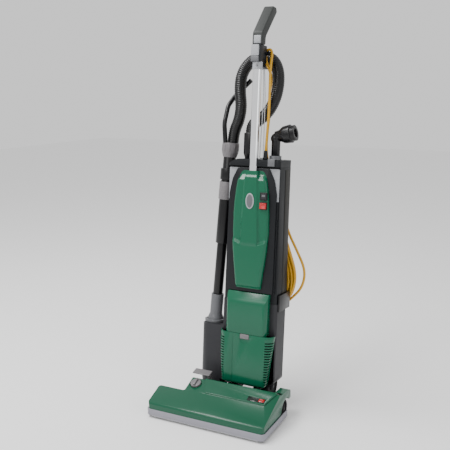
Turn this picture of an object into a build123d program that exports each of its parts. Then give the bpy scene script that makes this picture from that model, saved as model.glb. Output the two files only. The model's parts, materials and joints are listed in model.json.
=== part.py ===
"""Upright commercial vacuum cleaner, one STEP file for each of its pieces.

Two frames are used. Head pieces are drawn in the floor frame: X across, Y rearwards from
the bumper's front, Z up from the floor. Body pieces are drawn in the body frame: X across,
Y rearwards from the front cover's face, Z up along the handle. The body frame leans back.
Everything is placed with the origin at the middle of the footprint.
"""
from build123d import *
from math import cos, radians, sin, tan, pi
import os

# overall places, mm and degrees
ORIGIN_Y = 184.35       # middle of the footprint, behind the bumper's front
LEAN = 4.5              # how far the parked body leans back
BODY_X, BODY_Y = 50.0, 155.0
PIVOT_Y, PIVOT_Z = 280.0, 42.0
RUNNING = 0.05          # radial clearance of a turning pin
WALL = 3.0              # moulded shell thickness

# cleaning head
HEAD_HALF = 190.0
HOOD_FRONT_Z, HOOD_SLOPE = 46.0, 0.4
HOOD_REAR_Y = 131.0
SHALLOW_Y = 73.0        # depth of the head's left part
REAR_X0 = -100.0        # left side of the rear chassis
CHASSIS_Y = 205.0
BRUSH_Y, BRUSH_Z = 37.0, 25.5
BRUSH_CORE_R, BRUSH_TIP_R = 18.0, 24.5
BRUSH_HALF = 160.0
MOTOR_Y, MOTOR_Z = 100.0, 48.0
MOTOR_R = 24.0
BELT_X = 170.0
ROLL_PULLEY_R, MOTOR_PULLEY_R = 13.0, 8.0
BELT_THICKNESS = 2.5
SIDE_WHEEL_Y, SIDE_WHEEL_R = 172.0, 30.0
LEFT_WHEEL_Y, LEFT_WHEEL_R = 158.0, 24.0
ROLLER_X = (-60.0, 143.0)
ROLLER_Y, ROLLER_R = 88.0, 9.5
REAR_WHEEL_R, REAR_WHEEL_WIDTH = 42.0, 24.0
REAR_WHEEL_X = (-26.0, 88.0)
AXLE_R = 6.0
KNOB_X, KNOB_Y, KNOB_R = -79.0, 106.0, 16.0
PEDAL_X0, PEDAL_X1 = -104.0, -48.0

# body, in the body frame
CASE_X0, CASE_X1 = -164.0, 88.0
CASE_FRONT, CASE_REAR = 30.3, 118.0
CASE_BASE, CASE_TOP = 78.0, 335.0
POCKET_BASE, POCKET_TOP = 42.0, 247.0
COVER_SEAM = 241.0
HOUSING_TOP = 740.0
HOUSING_SCREWS = ((-40, 700), (62, 700), (-60, 360), (-60, 530))
CAP_TOP = 760.0
TUBE_Y, TUBE_R = 18.0, 12.5
FITTING_Z0, FITTING_Z1 = 1016.0, 1037.0
BRACKET_TOP = 1086.0
SWITCH_X, SWITCH_Z = 42.0, 628.0
TOOL_X, TOOL_Y = 49.0, 62.0
SOCKET_X, SOCKET_Y, SOCKET_TOP = -33.0, 68.0, 836.0
HOSE_R, CORD_R = 18.0, 4.0
UPPER_HOOK_X, UPPER_HOOK_Z = 18.0, 640.0
LOWER_HOOK_X, LOWER_HOOK_Z = 45.0, 337.0
HOOK_R = 10.0
MAST_HOOK_X, MAST_HOOK_Z = 14.0, 1066.0

# wand, in its own frame: Z up along it from the pocket's rim
WAND_X, WAND_Y, WAND_LEAN = -134.0, 72.0, 3.3
WAND_TOP = 558.0
COLLAR_Z0 = 521.0

FLOOR = Location((0, -ORIGIN_Y, 0))
BODY = Location((BODY_X, BODY_Y - ORIGIN_Y, 0), (-LEAN, 0, 0))
WAND = BODY * Location((WAND_X, WAND_Y, POCKET_TOP), (0, WAND_LEAN, 0))

# the hose's route and the cord's route, in the body frame
HOSE_ROUTE = [
    (-97, 76, 805.0), (-95, 76, 838), (-79, 76, 873), (-74, 78, 915), (-83, 82, 958),
    (-84, 88, 1004), (-66, 95, 1041), (-28, 100, 1066), (14, 97, 1054), (36, 90, 1020),
    (41, 83, 976), (34, 78, 934), (14, 74, 895), (-14, 70, 872), (-33, 68, 858), (-33, 68, 836),
]
CORD_ROUTE = [
    (25, 45, 786), (29.5, 45, 868), (29, 46, 960), (25.4, 52, 1028), (25, 66, 1077.5),
    (3, 66, 1077.5), (3, 67.5, 1043), (14, 98, 1002), (8, 120, 948), (-6, 128, 870),
    (-11, 129, 790), (0, 131, 738), (16, 134, 690),
]
TAIL_ROUTE = [(-8, 138, 470), (-26, 137, 492), (-45, 136, 488), (-52, 136, 463)]
PLUG_TOP = (-52, 136, 463)


def block(x, y, z):
    """A box from three (low, high) spans."""
    size = Box(x[1] - x[0], y[1] - y[0], z[1] - z[0])
    return Pos((x[0] + x[1]) / 2, (y[0] + y[1]) / 2, (z[0] + z[1]) / 2) * size


def rod(axis, radius, low, high, place):
    """A cylinder along X, Y or Z; place gives its other two coordinates."""
    shape = Cylinder(radius, high - low)
    middle = (low + high) / 2
    if axis == "X":
        return Pos(middle, place[0], place[1]) * Rot(0, 90, 0) * shape
    if axis == "Y":
        return Pos(place[0], middle, place[1]) * Rot(90, 0, 0) * shape
    return Pos(place[0], place[1], middle) * shape


def tube(axis, outer, inner, low, high, place):
    return rod(axis, outer, low, high, place) - rod(axis, inner, low - 1, high + 1, place)


def face_of(points, radii):
    """A closed outline with rounded corners."""
    return make_face(FilletPolyline(*points, radius=radii, close=True))


def plan(points, radii, z0, z1):
    """An XY outline raised from z0 to z1."""
    return extrude(Plane.XY.offset(z0) * face_of(points, radii), z1 - z0)


def front(points, radii, y0, y1):
    """An XZ outline carried rearwards from y0 to y1."""
    return extrude(Plane.XZ.offset(-y1) * face_of(points, radii), y1 - y0)


def side(points, radii, x0, x1):
    """A YZ outline carried across from x0 to x1."""
    return extrude(Plane.YZ.offset(x0) * face_of(points, radii), x1 - x0)


def rectangle(x0, x1, y0, y1):
    return [(x0, y0), (x1, y0), (x1, y1), (x0, y1)]


def turned(points, place):
    """A solid of revolution about Z from (radius, height) points."""
    outline = make_face(Polyline(*points, close=True))
    return place * revolve(Plane.XZ * outline, Axis.Z)


def route_tube(points, radius, name):
    """A round tube along straight runs joined by the largest tangent arcs that fit."""
    corners = [Vector(*p) for p in points]
    radii = []
    for before, here, after in zip(corners, corners[1:], corners[2:]):
        turn = (here - before).get_angle(after - here)
        run = min((here - before).length, (after - here).length)
        radii.append(0.45 * run / tan(radians(turn) / 2))
    path = FilletPolyline(*corners, radius=radii)
    start = Plane(origin=path @ 0, z_dir=path % 0)
    solid = sweep(start * Circle(radius), path)
    share = solid.volume / (pi * radius ** 2 * path.length)
    print(f"{name}: length {path.length:.0f}, volume share {share:.4f}")
    print("  radii", " ".join(f"{r:.0f}" for r in radii))
    return solid


def save(name, shape, place):
    export_step(place * shape, f"parts/{name}.step")


# ---- cleaning head ---------------------------------------------------------------------
def hood_top(y, lift=0.0):
    return HOOD_FRONT_Z + HOOD_SLOPE * (y - 6) + lift


def hood_profile(rear, inset, lift=0.0):
    """Side outline of the hood, from the bumper over the ridge to the rear wall."""
    low = 27.0 if inset else 28.0
    front_y = 2 + inset
    top = lift - inset
    return [(front_y, low), (front_y + 1.5, hood_top(front_y + 1.5, top)),
            (rear - inset, hood_top(rear, top)), (rear - inset, low)]


def hood_mass(inset):
    """The hood's full volume, shrunk by inset on every side but the bottom."""
    half = HEAD_HALF - 3 - inset
    corner = 12 - inset
    profile_radii = [0, 8 - inset, 5, 0]
    main_plan = [(-half, 2 + inset), (half, 2 + inset), (half, HOOD_REAR_Y - inset),
                 (REAR_X0 + inset, HOOD_REAR_Y - inset), (REAR_X0 + inset, SHALLOW_Y - inset),
                 (-half, SHALLOW_Y - inset)]
    outline = plan(main_plan, [corner, corner, 4, 10, 6, 8], 20, 130)
    mass = side(hood_profile(HOOD_REAR_Y, inset), profile_radii, -half, half) & outline
    panel_plan = [(-32 + inset, 77 + inset), (158 - inset, 77 + inset),
                  (180 - inset, 129 - inset), (-58 + inset, 129 - inset)]
    panel = side(hood_profile(HOOD_REAR_Y, inset, 4), profile_radii, -half, half)
    mass += panel & plan(panel_plan, 4, 20, 130)
    ear = [(124, 29), (124, 88), (150, 88), (190, 86 - inset), (208 - inset, 78), (208 - inset, 56)]
    mass += side(ear, [0, 0, 6, 6, 8, 0], 161 + inset, half)
    return mass


def surface_place(x, y, lift):
    """A place on the hood's slope, Z square to it."""
    return Location((x, y, hood_top(y, lift)), (21.8, 0, 0))


def make_head():
    hood = hood_mass(0) - hood_mass(WALL)
    well = surface_place(KNOB_X, KNOB_Y, 0)
    hood += well * Pos(0, 0, -6) * Cylinder(20.5, 10)
    hood -= well * Pos(0, 0, 2) * Cylinder(18.8, 14)
    hood -= well * Cylinder(4 + RUNNING, 40)
    hood -= rod("X", SIDE_WHEEL_R + 5, 160, 200, (SIDE_WHEEL_Y, SIDE_WHEEL_R))
    window = surface_place(128, 88.5, 4)
    hood -= window * Box(54.4, 16.4, 2.4)
    save("head_hood", hood, FLOOR)
    save("indicator_window", window * Pos(0, 0, -0.2) * Box(54, 16, 2), FLOOR)
    knob = Cylinder(KNOB_R, 8) + Pos(0, 0, 6) * Box(6, 28, 7) + Pos(0, 0, -9) * Cylinder(4, 12)
    save("height_knob", well * Pos(0, 0, 0) * knob, FLOOR)

    bumper_plan = [(-HEAD_HALF, 0), (HEAD_HALF, 0), (HEAD_HALF, 178), (-HEAD_HALF, 178)]
    inner_plan = [(-186.8, 4), (186.8, 4), (186.8, 180), (-186.8, 180)]
    bumper = plan(bumper_plan, [13, 13, 0, 0], 8, 27.5) - plan(inner_plan, [10, 10, 0, 0], 7, 29)
    bumper -= block((-200, -180), (70, 200), (0, 40))
    save("bumper_strip", bumper, FLOOR)

    half = 186.5
    base_plan = [(-half, 4.3), (half, 4.3), (half, CHASSIS_Y), (REAR_X0 + 4, CHASSIS_Y),
                 (REAR_X0 + 4, 69), (-half, 69)]
    base = plan(base_plan, [10, 10, 3, 6, 3, 4], 6, 27.5)
    base -= plan([(-half + 4, 8), (half - 4, 8), (half - 4, CHASSIS_Y - 4),
                  (REAR_X0 + 8, CHASSIS_Y - 4), (REAR_X0 + 8, 65), (-half + 4, 65)], 2, 10, 30)
    base += block((-176, 176), (7, 9.5), (6, 34)) + block((-176, 162), (66.5, 69.4), (6, 44))
    base += block((-179, -176), (12, 68), (6, 44)) + block((162, 165), (12, 69), (6, 44))
    base -= block((-176, 162), (9.5, 66.5), (0, 60))
    base -= block((158, 190), (138, 207), (0, 60)) + block((-100, -72), (130, 207), (0, 60))
    base += block((154, 158), (134, 205), (6, 50)) + block((-72, -69), (131.3, 205), (6, 34))
    base += rod("X", 5, 156, 181, (SIDE_WHEEL_Y, SIDE_WHEEL_R))
    base += rod("X", 5, -92, -70, (LEFT_WHEEL_Y, LEFT_WHEEL_R))
    for x in ROLLER_X:
        base -= block((x - 8, x + 8), (ROLLER_Y - 11, ROLLER_Y + 11), (0, 27.4))
        for ear_x in (x - 12, x + 8):
            base += block((ear_x, ear_x + 4), (ROLLER_Y - 11, ROLLER_Y + 11), (6, 20))
        base += rod("X", 3, x - 9, x + 9, (ROLLER_Y, ROLLER_R))
    base += block((66, 124), (82, 118), (9, 25))
    for post_x in (-70, -53):
        base += block((post_x, post_x + 5), (154, 166), (9, 68))
    base += rod("X", 3, -66, -52, (160, 62))
    base -= rod("X", MOTOR_R + 0.2, 50, 140, (MOTOR_Y, MOTOR_Z))
    base -= block((BELT_X - 4, BELT_X + 6), (18, 56), (9, 12))
    spans = ((-179, -176), (162, 165))
    for x0, x1 in spans:
        base -= rod("X", 11, x0 - 1, x1 + 1, (BRUSH_Y, BRUSH_Z))
    save("head_base", base, FLOOR)
    bearings = [tube("X", 11, 5 + RUNNING, x0, x1, (BRUSH_Y, BRUSH_Z)) for x0, x1 in spans]
    bearings = Compound(bearings)
    save("brush_bearings", bearings, FLOOR)

    sole = plan(rectangle(-178, 172, 7, 76), 4, 2, 5.9)
    save("sole_plate", sole - block((-168, 162), (11, 66), (0, 10)), FLOOR)


def make_brush():
    core = rod("X", BRUSH_CORE_R, -BRUSH_HALF, BRUSH_HALF, (BRUSH_Y, BRUSH_Z))
    core += rod("X", 5, -178.5, BELT_X + 5, (BRUSH_Y, BRUSH_Z))
    core += rod("X", ROLL_PULLEY_R, BELT_X - 3, BELT_X + 5, (BRUSH_Y, BRUSH_Z))
    save("brush_roll", core, FLOOR)
    rows = []
    for row in range(2):
        for step in range(12):
            x0 = -156 + step * 26
            angle = 180 * row + 30 * step
            tuft = Pos(0, 0, (BRUSH_CORE_R + BRUSH_TIP_R) / 2) * Box(24, 7, 7)
            rows.append(Pos(x0 + 13, BRUSH_Y, BRUSH_Z) * Rot(angle, 0, 0) * tuft)
    solid_core = rod("X", BRUSH_CORE_R + 0.02, -170, 170, (BRUSH_Y, BRUSH_Z))
    save("brush_bristles", Compound([r - solid_core for r in rows]), FLOOR)


def make_head_drive():
    motor = rod("X", MOTOR_R, 62, 128, (MOTOR_Y, MOTOR_Z)) + rod("X", 9, 128, 140, (MOTOR_Y, MOTOR_Z))
    motor -= rod("X", 4 + RUNNING, 100, 141, (MOTOR_Y, MOTOR_Z))
    save("brush_motor", motor, FLOOR)
    shaft = rod("X", 4, 101, BELT_X + 5, (MOTOR_Y, MOTOR_Z))
    shaft += rod("X", MOTOR_PULLEY_R, BELT_X - 3, BELT_X + 5, (MOTOR_Y, MOTOR_Z))
    save("motor_pulley", shaft, FLOOR)
    loops = []
    for extra in (0.1 + BELT_THICKNESS, 0.1):
        ends = Pos(BRUSH_Y, BRUSH_Z) * Circle(ROLL_PULLEY_R + extra)
        ends += Pos(MOTOR_Y, MOTOR_Z) * Circle(MOTOR_PULLEY_R + extra)
        loops.append(extrude(Plane.YZ.offset(BELT_X - 2) * make_hull(ends.edges()), 6))
    save("drive_belt", loops[0] - loops[1], FLOOR)


def wheel(radius, width, bore):
    """A spoked wheel about Z with a rounded tread."""
    outer = radius - 3
    points = [(bore, -width / 2), (outer, -width / 2), (radius, -width / 2 + 4),
              (radius, width / 2 - 4), (outer, width / 2), (bore, width / 2)]
    shape = turned(points, Location())
    dish = Cylinder(radius - 9, width) - Cylinder(bore + 6, width)
    shape -= Pos(0, 0, width - 4) * dish
    return shape - Pos(0, 0, 4 - width) * dish


def make_wheels():
    rear = wheel(REAR_WHEEL_R, REAR_WHEEL_WIDTH, AXLE_R + RUNNING)
    for name, x in zip(("rear_wheel_left", "rear_wheel_right"), REAR_WHEEL_X):
        save(name, Pos(x, PIVOT_Y, PIVOT_Z) * Rot(0, 90, 0) * rear, FLOOR)
    sides = (("side_wheel_left", -83, LEFT_WHEEL_Y, LEFT_WHEEL_R),
             ("side_wheel_right", 171, SIDE_WHEEL_Y, SIDE_WHEEL_R))
    for name, x, y, radius in sides:
        save(name, Pos(x, y, radius) * Rot(0, 90, 0) * wheel(radius, 18, 5 + RUNNING), FLOOR)
    inner, outer = REAR_WHEEL_X
    ends = REAR_WHEEL_WIDTH / 2 + 2
    axle = rod("X", AXLE_R, inner - ends, outer + ends, (PIVOT_Y, PIVOT_Z))
    save("pivot_axle", axle, FLOOR)
    arms = []
    for x0 in (-8, 60):
        arm = block((x0, x0 + 10), (CHASSIS_Y, PIVOT_Y), (PIVOT_Z - 13, PIVOT_Z + 13))
        arm += block((x0, x0 + 10), (CHASSIS_Y - 30, CHASSIS_Y + 2), (27.6, PIVOT_Z + 13))
        arm += rod("X", 14, x0, x0 + 10, (PIVOT_Y, PIVOT_Z))
        arms.append(arm - rod("X", AXLE_R, x0 - 1, x0 + 11, (PIVOT_Y, PIVOT_Z)))
    save("yoke_arms", Compound(arms), FLOOR)
    roller = rod("X", ROLLER_R, -7, 7, (0, 0)) - rod("X", 3 + RUNNING, -8, 8, (0, 0))
    for name, x in zip(("front_roller_left", "front_roller_right"), ROLLER_X):
        save(name, Pos(x, ROLLER_Y, ROLLER_R) * roller, FLOOR)


def make_pedal():
    blade = [(132, 103), (156, 108), (156, 112), (132, 107)]
    pedal = side(blade, [1.5, 1, 1, 1.5], PEDAL_X0, PEDAL_X1)
    pedal += side([(148, 110), (156, 110), (165, 66), (156, 62)], 1.5, -64.5, -53.5)
    pedal += rod("X", 7, -64.5, -53.5, (160, 62))
    pedal -= rod("X", 3 + RUNNING, -90, -50, (160, 62))
    save("release_pedal", pedal, FLOOR)


# ---- body --------------------------------------------------------------------------------
PIVOT_U = (PIVOT_Y - BODY_Y) * cos(radians(LEAN)) - PIVOT_Z * sin(radians(LEAN))
PIVOT_W = (PIVOT_Y - BODY_Y) * sin(radians(LEAN)) + PIVOT_Z * cos(radians(LEAN))


def case_mass(inset):
    x0, x1 = CASE_X0 + inset, CASE_X1 - inset
    y0, y1 = CASE_FRONT + inset, CASE_REAR - inset
    outline = plan(rectangle(x0, x1, y0, y1), [26 - inset, 8 - inset, 22 - inset, 26 - inset], 30, 340)
    left, step = x0, -92 - inset
    points = [(left, POCKET_TOP - inset), (left, POCKET_BASE + inset), (step, POCKET_BASE + inset),
              (step, CASE_BASE + inset), (x1, CASE_BASE + inset), (x1, CASE_TOP - inset),
              (-86 + inset, CASE_TOP - inset), (-86 + inset, POCKET_TOP - inset)]
    return outline & front(points, [6, 48 - inset, 8, 1, 30 - inset, 0, 0, 1], 20, 130)


def wheel_wells(radius):
    width = REAR_WHEEL_WIDTH / 2 + 4 + (radius - REAR_WHEEL_R - 4)
    wells = [rod("X", radius, x - BODY_X - width, x - BODY_X + width, (PIVOT_U, PIVOT_W))
             for x in REAR_WHEEL_X]
    return wells[0] + wells[1]


def make_lower_body():
    outer = case_mass(0)
    case = outer - case_mass(WALL)
    case -= block((-83, 85), (20, 36), (88, 238))
    case -= block((-60, 62), (20, 36), (246, 330))
    in_wand = Location((WAND_X, WAND_Y, POCKET_TOP), (0, WAND_LEAN, 0))
    case += (in_wand * Pos(0, 0, -90) * Cylinder(27.5, 200)) & outer
    case += wheel_wells(REAR_WHEEL_R + 7) & outer
    case -= wheel_wells(REAR_WHEEL_R + 4)
    case -= in_wand * Pos(0, 0, -60) * Cylinder(24.5, 140)
    for x0 in (-46, -2):
        web = [(62, CASE_BASE + 1), (116, CASE_BASE + 1), (PIVOT_U + 10, PIVOT_W + 8),
               (PIVOT_U, PIVOT_W - 13)]
        boss = rod("X", 13, x0, x0 + 10, (PIVOT_U, PIVOT_W)) + side(web, 1, x0, x0 + 10)
        case += boss - rod("X", AXLE_R + RUNNING, x0 - 1, x0 + 11, (PIVOT_U, PIVOT_W))
    save("lower_casing", case, BODY)

    rim = Cylinder(33, 9) - Cylinder(25.6, 12)
    rim_place = Location((WAND_X, WAND_Y, POCKET_TOP + 4.5))
    clip = block((CASE_X0, -86.2), (CASE_FRONT + 6, CASE_REAR - 8), (240, 262))
    save("pocket_rim", (rim_place * rim) & clip, BODY)

    cover = cover_mass(0) - cover_mass(WALL)
    slots = []
    for row in range(17):
        z = 94 + row * 7.9
        for x0, x1 in ((-95, -66), (66, 95)):
            slots.append(block((x0, x1), (-2, 24), (z, z + 3.6)))
    cover -= Compound(slots)
    cover -= block((-15, 15), (-2, 5), (225.5, 250))
    cover += block((-16.5, 16.5), (2, 12), (222, 224.5)) + block((-16.5, 16.5), (9.5, 12), (222, 240))
    save("lower_cover", cover, BODY)
    button = block((-14.5, 14.5), (-1.2, 5), (226, 240.3))
    save("latch_button", button, BODY)

    lip = [(0, 242), (0, 334), (5, 346), (17.5, 365), (30, 366), (30, 242)]
    inner_lip = [(3, 241), (3, 333), (8, 344.5), (17, 361), (31, 362), (31, 241)]
    band = rectangle(-66, 66, 0, 40)
    mid = plan(band, [14, 14, 0, 0], 241, 370) & side(lip, [0, 5, 3, 2, 0, 0], -70, 70)
    core = plan(rectangle(-63, 63, 3, 40), [11, 11, 0, 0], 240, 370)
    mid -= core & side(inner_lip, [0, 5, 3, 2, 0, 0], -70, 70)
    save("mid_cover", mid, BODY)


def cover_mass(inset):
    half_top, half_low = 88 - inset, 69.5 - inset
    top = COVER_SEAM if inset == 0 else COVER_SEAM + 1
    low = 81 + inset
    rear = 28 if inset == 0 else 29
    outline = front([(-half_low, low), (half_low, low), (half_top, top), (-half_top, top)],
                    [16 - inset, 16 - inset, 0, 0], -1, 30)
    wrap = plan(rectangle(-half_top, half_top, inset, rear), [27 - inset, 27 - inset, 0, 0], 70, 250)
    depth = side([(inset, low), (rear, low), (rear, top), (inset, top)], [13 - inset, 0, 0, 0],
                 -100, 100)
    return outline & wrap & depth


def vase(inset, y0, y1):
    """The upper cover's outline: narrow foot, full chest, rounded shoulders."""
    low, high = 379 + inset, 728 - inset
    flank = Spline((41 - inset, low), (49 - inset, 450), (58.5 - inset, 548), (55 - inset, 640),
                   (48 - inset, 694), (31 - inset, high))
    far = mirror(flank, Plane.YZ)
    edges = [flank, far, Line(flank @ 0, far @ 0), Line(flank @ 1, far @ 1)]
    return extrude(Plane.XZ.offset(-y1) * make_face(edges), y1 - y0)


def make_upper_body():
    tube_room = rod("Z", TUBE_R + 0.1, 590, 800, (0, TUBE_Y))
    cover = vase(0, 0, 17.9) - vase(WALL, WALL, 18.5)
    cover -= block((SWITCH_X - 10.5, SWITCH_X + 10.5), (-2, 5), (SWITCH_Z - 10, SWITCH_Z + 10))
    cover -= tube_room
    save("upper_cover", cover, BODY)
    rocker = side([(-3.5, SWITCH_Z - 9), (-1, SWITCH_Z), (-3.5, SWITCH_Z + 9), (4, SWITCH_Z + 7),
                   (7, SWITCH_Z), (4, SWITCH_Z - 7)], 0.8, SWITCH_X - 10, SWITCH_X + 10)
    save("power_switch", rocker, BODY)

    shoulder = [(50, 734), (66, 703), (75, 660), (75, 367), (-75, 367), (-75, 660), (-66, 703),
                (-50, 734)]
    plate = front(shoulder, [6, 60, 60, 3, 3, 60, 60, 6], 18, 24) - tube_room
    save("backing_plate", plate, BODY)
    panel_outline = [(79, 734.5), (79, 367), (-79, 367), (-79, 734.5)]
    panel = front(panel_outline, [3, 3, 3, 3], 24, 29.9) - tube_room
    save("front_panel", panel, BODY)

    housing = housing_mass(0) - housing_mass(WALL) - tube_room
    for place in HOUSING_SCREWS:
        housing -= rod("Y", 3, 100, 130, place)
    save("bag_housing", housing, BODY)

    roof = [(-80, 740.2), (84, 740.2), (84, CAP_TOP), (-52, CAP_TOP), (-70, 753), (-80, 744)]
    cap = front(roof, [0, 0, 4, 12, 8, 1], 16, 118) & plan(rectangle(-80, 84, 16, 118),
                                                          [8, 8, 22, 22], 730, 770)
    cap -= front([(-76, 739), (80, 739), (80, 756.5), (-51, 756.5), (-76, 745)], 0.5, 20, 114)
    cap -= tube_room
    cap -= rod("Z", 17.9, 739, 770, (SOCKET_X, SOCKET_Y))
    cap -= rod("Z", 13.3, 739, 770, (TOOL_X, TOOL_Y))
    cap -= rod("Z", 6.5, 739, 770, (CORD_ROUTE[0][0], CORD_ROUTE[0][1]))
    save("top_cap", cap, BODY)

    socket = turned([(15, 742), (17.8, 742), (17.8, 762), (22, 776), (22, SOCKET_TOP),
                     (15, SOCKET_TOP)], Location((SOCKET_X, SOCKET_Y, 0)))
    save("hose_socket", socket, BODY)
    x, y = CORD_ROUTE[0][0], CORD_ROUTE[0][1]
    relief = turned([(0, 745), (6.4, 745), (6.4, 760.1), (8.5, 760.1), (8.5, 764), (6.6, 766),
                     (5, 786), (0, 786)], Location((x, y, 0)))
    save("strain_relief", relief, BODY)


def housing_mass(inset):
    top, low = HOUSING_TOP - inset, 335.2 + inset
    half_top, half_low = 80 - inset, 86 - inset
    outline = front([(-half_low, low), (half_low, low), (half_top, top), (-half_top, top)],
                    0.5, 20, 130)
    return outline & plan(rectangle(-half_low, half_low, 30 + inset, CASE_REAR - inset),
                          [6 - inset, 6 - inset, 22 - inset, 22 - inset], 330, 745)


def make_insides():
    motor = rod("Z", 40, 130, 205, (12, 74)) + rod("Z", 30, 205, 222, (12, 74))
    motor += block((-34, 58), (71, 77), (112, 130)) + block((9, 15), (34, 114.8), (112, 130))
    motor -= rod("Z", 4 + RUNNING, 190, 223, (12, 74))
    save("suction_motor", motor, BODY)
    fan = rod("Z", 4, 191, 240, (12, 74)) + rod("Z", 32, 226, 229, (12, 74))
    for blade in range(7):
        fan += Pos(12, 74, 233) * Rot(0, 0, blade * 360 / 7) * Pos(19, 0, 0) * Box(24, 2.5, 8)
    save("suction_fan", fan, BODY)
    save("exhaust_filter", block((-58, 58), (8, 60), (252, 322)), BODY)
    bag = plan(rectangle(-70, 70, 46, 106), 20, 350, 715)
    save("dust_bag", bag, BODY)


def make_mast():
    mast = tube("Z", TUBE_R, TUBE_R - 1.5, 590, FITTING_Z1 + 12, (0, TUBE_Y))
    save("handle_tube", mast, BODY)
    fitting_screw = rod("Y", 3.4, 2.0, 5.3, (4, 1028))
    fitting = tube("Z", 14.5, TUBE_R, FITTING_Z0, FITTING_Z1, (0, TUBE_Y)) - fitting_screw
    save("tube_fitting", fitting, BODY)
    screws = [fitting_screw]
    for x, z in HOUSING_SCREWS:
        screws.append(rod("Y", 2.9, 109, 118.1, (x, z)) + rod("Y", 5, 118.1, 120.5, (x, z)))
    save("screws", Compound(screws), BODY)

    bracket = block((-11, 9), (1, 60), (FITTING_Z1, BRACKET_TOP))
    bracket += front([(-15, FITTING_Z1), (13, FITTING_Z1), (13, BRACKET_TOP), (-15, BRACKET_TOP)],
                     3, 3, 34)
    cradle = [(48, 1026), (124, 1026), (124, 1072), (118, 1072), (118, 1034), (48, 1034)]
    bracket += side(cradle, [0, 5, 2.5, 2.5, 4, 0], -36, -9)
    bracket += block((-14, 7), (48, 60), (1026, 1045))
    bracket += rod("Y", 6, 58, 72, (MAST_HOOK_X, MAST_HOOK_Z))
    bracket -= rod("Z", TUBE_R + 0.1, 1030, FITTING_Z1 + 12.1, (0, TUBE_Y))
    save("hook_bracket", bracket, BODY)

    crank = [(8, BRACKET_TOP + 0.1), (34, BRACKET_TOP + 0.1), (35, 1109), (109, 1189), (103, 1202),
             (82, 1203), (9, 1120)]
    grip = side(crank, [4, 4, 16, 8, 6, 6, 18], -16, 16)
    save("handle_grip", grip, BODY)

    leg_bottom = 764.0
    wire_path = FilletPolyline((14.4, 30, 1018), (16, 33, 940), (12, 32, leg_bottom),
                               (21, 37, leg_bottom), (20, 36, 940), (17.2, 30, 1018),
                               radius=[300, 4, 4, 300])
    start = Plane(origin=wire_path @ 0, z_dir=wire_path % 0)
    save("wire_stay", sweep(start * Circle(1.3), wire_path), BODY)


def make_tool():
    holder = rod("Z", 18, 760.2, 772, (TOOL_X, TOOL_Y))
    holder += block((46, 67), (12.5, 56), (760.2, 763.2)) + block((46, 67), (12.5, 15.9), (742, 763.2))
    save("tool_holder", holder - rod("Z", 13.3, 740, 780, (TOOL_X, TOOL_Y)), BODY)
    pipe = rod("Z", 13, 745, 822, (TOOL_X, TOOL_Y))
    ball = Pos(TOOL_X, TOOL_Y, 822) * Sphere(16)
    horn = turned([(0, 0), (15, 0), (17, 12), (25, 26), (27, 48), (24, 50), (0, 50)], Location())
    lean = Location((TOOL_X, TOOL_Y, 828), (0, 78, 8))
    bristles = lean * Pos(0, 0, 55) * (Cylinder(23, 12) - Cylinder(13, 14))
    save("dusting_tool", pipe + ball + lean * horn + bristles, BODY)


def make_cord_hooks():
    upper = rod("Y", HOOK_R, 119, 156, (UPPER_HOOK_X, UPPER_HOOK_Z))
    lip = [(UPPER_HOOK_X - 12, UPPER_HOOK_Z - 12), (UPPER_HOOK_X + 12, UPPER_HOOK_Z - 12),
           (UPPER_HOOK_X + 10, UPPER_HOOK_Z + 38), (UPPER_HOOK_X - 10, UPPER_HOOK_Z + 38)]
    upper += front(lip, 9, 155, 161)
    save("upper_cord_hook", upper, BODY)
    x, z = LOWER_HOOK_X, LOWER_HOOK_Z
    lower = rod("Y", HOOK_R, 122, 156, (x, z))
    lower += front([(x - 10, z - 36), (x + 10, z - 36), (x + 12, z + 12), (x - 12, z + 12)],
                   9, 155, 161)
    lower += front([(x - 20, z - 22), (88.5, z - 22), (88.5, z + 24), (x - 20, z + 24)],
                   4, 118.1, 123)
    lower += block((88.5, 93), (36, 121), (z - 24, z + 26))
    save("lower_cord_hook", lower, BODY)


# ---- wand, hose and cord -----------------------------------------------------------------
def make_wand():
    elbow = turned([(18.2, -118), (24, -118), (24, 14), (19.5, 26), (19.5, 88), (15.6, 88),
                    (15.6, 60), (13, 58), (13, 0), (18.2, -6)], Location())
    save("wand_elbow", elbow, WAND)
    lower = tube("Z", 15.5, 13.5, 60, 380, (0, 0))
    save("wand_lower_tube", lower, WAND)
    upper = turned([(15.6, 250), (21, 250), (21, 441), (19, 446), (19, COLLAR_Z0),
                    (17, COLLAR_Z0), (17, 390), (15.6, 385)], Location())
    save("wand_upper_tube", upper, WAND)
    save("slide_lock", tube("Z", 24, 21 + RUNNING, 386, 440, (0, 0)), WAND)
    sleeve = turned([(19.05, 446.5), (24, 446.5), (24, 480), (19.05, 480)], Location())
    save("wand_sleeve", sleeve, WAND)
    collar = turned([(19.05, COLLAR_Z0 - 6), (21, COLLAR_Z0 - 6), (25, COLLAR_Z0 + 8),
                     (25.5, WAND_TOP), (17, WAND_TOP), (17, COLLAR_Z0 + 0.5),
                     (19.05, COLLAR_Z0 + 0.5)], Location())
    save("wand_collar", collar, WAND)
    bend = FilletPolyline((-11, -17, WAND_TOP + 0.1), (-20, -16, 615), (-23, 6, 668),
                          (-14, 36, 704), (8, 42, 728), (30, 40, 750), radius=[60, 50, 40, 60])
    start = Plane(origin=bend @ 0, z_dir=bend % 0)
    save("wand_grip", sweep(start * Circle(7), bend), WAND)


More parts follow.
